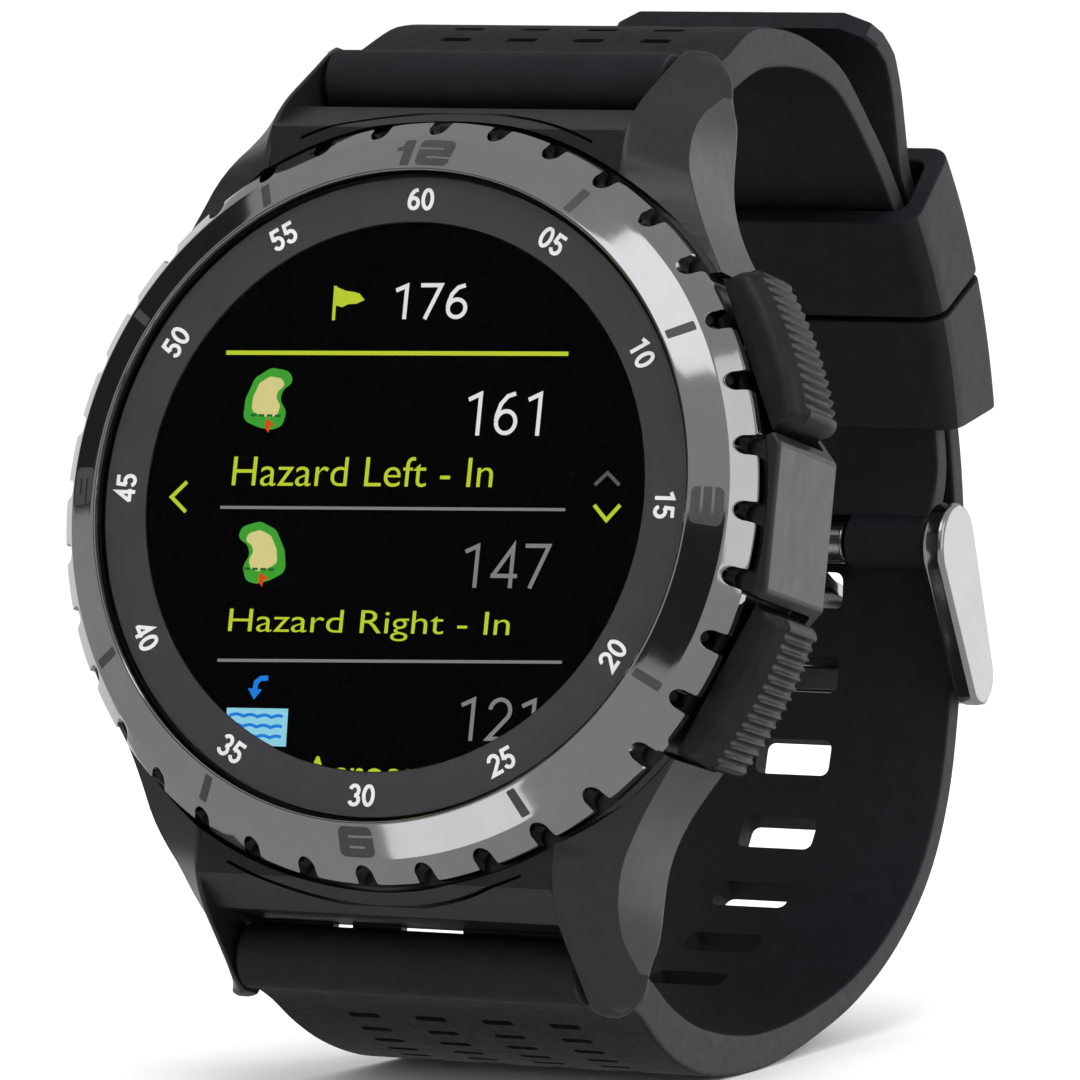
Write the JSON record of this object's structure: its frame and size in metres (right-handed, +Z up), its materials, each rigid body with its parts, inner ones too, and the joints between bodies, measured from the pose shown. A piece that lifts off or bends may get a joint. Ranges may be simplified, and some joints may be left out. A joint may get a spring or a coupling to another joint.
{
  "type": "golf gps watch",
  "caption": "Round sports watch with a colour screen under glass, a notched turning bezel, side pushers and a buckled rubber strap, closed and leaning back on the strap.",
  "frame": {"origin": "centre of the bounding box in plan, at the level of the surface the strap stands on", "axes": "+X from 9 towards 3 o'clock, -Y the way the dial faces, +Z up; the dial leans back 12.6 degrees about X"},
  "size_m": [0.051, 0.0724, 0.0688],
  "materials": {
    "case": "black satin coat",
    "bezel": "gunmetal, polished",
    "steel": "polished",
    "spring": "bright",
    "glass": "clear, glossy",
    "ring": "printed",
    "display": "black, lit",
    "strap": "soft matt",
    "seal": "matt",
    "pusher": "satin",
    "frame": "moulded",
    "board": "solder mask",
    "cell": "foil",
    "ceramic": "fired ceramic",
    "gold": "plated"
  },
  "bodies": {
    "watch_case": {"back_gasket": "seal", "back_screw_1": "steel", "back_screw_2": "steel", "back_screw_3": "steel", "back_screw_4": "steel", "bar_tube_lower": "steel", "bar_tube_upper": "steel", "battery": "cell", "bezel_click_ring": "spring", "bezel_gasket": "seal", "buckle_bar": "steel", "case_back": "case", "case_body": "case", "charging_contact_1": "gold", "charging_contact_2": "gold", "charging_contact_3": "gold", "charging_contact_4": "gold", "display_module": "display", "front_glass": "glass", "glass_gasket": "seal", "gps_antenna": "ceramic", "gps_receiver": "cell", "inner_frame": "frame", "main_board": "board", "memory_and_radio": "cell", "minute_ring": "ring", "pusher_seal_lower": "seal", "pusher_seal_upper": "seal", "pusher_spring_lower": "spring", "pusher_spring_upper": "spring", "pusher_switch_lower": "frame", "pusher_switch_upper": "frame", "strap_long": "strap", "strap_short": "strap", "vibration_motor": "steel"},
    "bezel_ring": {"bezel": "bezel"},
    "upper_pusher": {"pusher_upper": "pusher", "pusher_clip_upper": "spring"},
    "lower_pusher": {"pusher_lower": "pusher", "pusher_clip_lower": "spring"},
    "keeper_near_buckle": {"keeper_lower": "strap"},
    "keeper_far": {"keeper_upper": "strap"},
    "buckle": {"buckle_frame": "steel"},
    "tang": {"buckle_tang": "steel"},
    "tip_upper_left": {"bar_tip_upper_left": "steel"},
    "tip_upper_right": {"bar_tip_upper_right": "steel"},
    "tip_lower_left": {"bar_tip_lower_left": "steel"},
    "tip_lower_right": {"bar_tip_lower_right": "steel"}
  },
  "joints": [
    {"name": "bezel_turn", "type": "hinge", "parent": "watch_case", "child": "bezel_ring", "pos_m": [-0.00078, -0.03132, 0.03907], "axis": [0, 0.9759, -0.2181], "continuous": true},
    {"name": "pusher_upper_press", "type": "slide", "parent": "watch_case", "child": "upper_pusher", "axis": [-0.9063, -0.0922, -0.4124], "range_m": [0, 0.0006], "stiffness_N_per_m": 2500, "springref_m": -0.0004, "deforming": ["pusher_spring_upper"]},
    {"name": "pusher_lower_press", "type": "slide", "parent": "watch_case", "child": "lower_pusher", "axis": [-0.9063, 0.0922, 0.4124], "range_m": [0, 0.0006], "stiffness_N_per_m": 2500, "springref_m": -0.0004, "deforming": ["pusher_spring_lower"]},
    {"name": "keeper_lower_slide", "type": "hinge", "parent": "watch_case", "child": "keeper_near_buckle", "pos_m": [-0.00078, -0.00367, 0.03442], "axis": [-1, 0, 0], "range_deg": [0, 7]},
    {"name": "keeper_upper_slide", "type": "hinge", "parent": "watch_case", "child": "keeper_far", "pos_m": [-0.00078, -0.00367, 0.03442], "axis": [-1, 0, 0], "range_deg": [0, 7]},
    {"name": "buckle_hinge", "type": "hinge", "parent": "watch_case", "child": "buckle", "pos_m": [-0.00078, 0.0277, 0.03263], "axis": [1, 0, 0], "range_deg": [0, 3]},
    {"name": "tang_hinge", "type": "hinge", "parent": "buckle", "child": "tang", "pos_m": [-0.00078, 0.0277, 0.03263], "axis": [1, 0, 0], "range_deg": [0, 1.5]},
    {"name": "tip_upper_left_press", "type": "slide", "parent": "watch_case", "child": "tip_upper_left", "axis": [1, 0, 0], "range_m": [0, 0.0013], "stiffness_N_per_m": 400, "springref_m": -0.001},
    {"name": "tip_upper_right_press", "type": "slide", "parent": "watch_case", "child": "tip_upper_right", "axis": [-1, 0, 0], "range_m": [0, 0.0013], "stiffness_N_per_m": 400, "springref_m": -0.001},
    {"name": "tip_lower_left_press", "type": "slide", "parent": "watch_case", "child": "tip_lower_left", "axis": [1, 0, 0], "range_m": [0, 0.0013], "stiffness_N_per_m": 400, "springref_m": -0.001},
    {"name": "tip_lower_right_press", "type": "slide", "parent": "watch_case", "child": "tip_lower_right", "axis": [-1, 0, 0], "range_m": [0, 0.0013], "stiffness_N_per_m": 400, "springref_m": -0.001}
  ],
  "couplings": [
    {"joint": "keeper_upper_slide", "follows": "keeper_lower_slide", "ratio": 1}
  ]
}
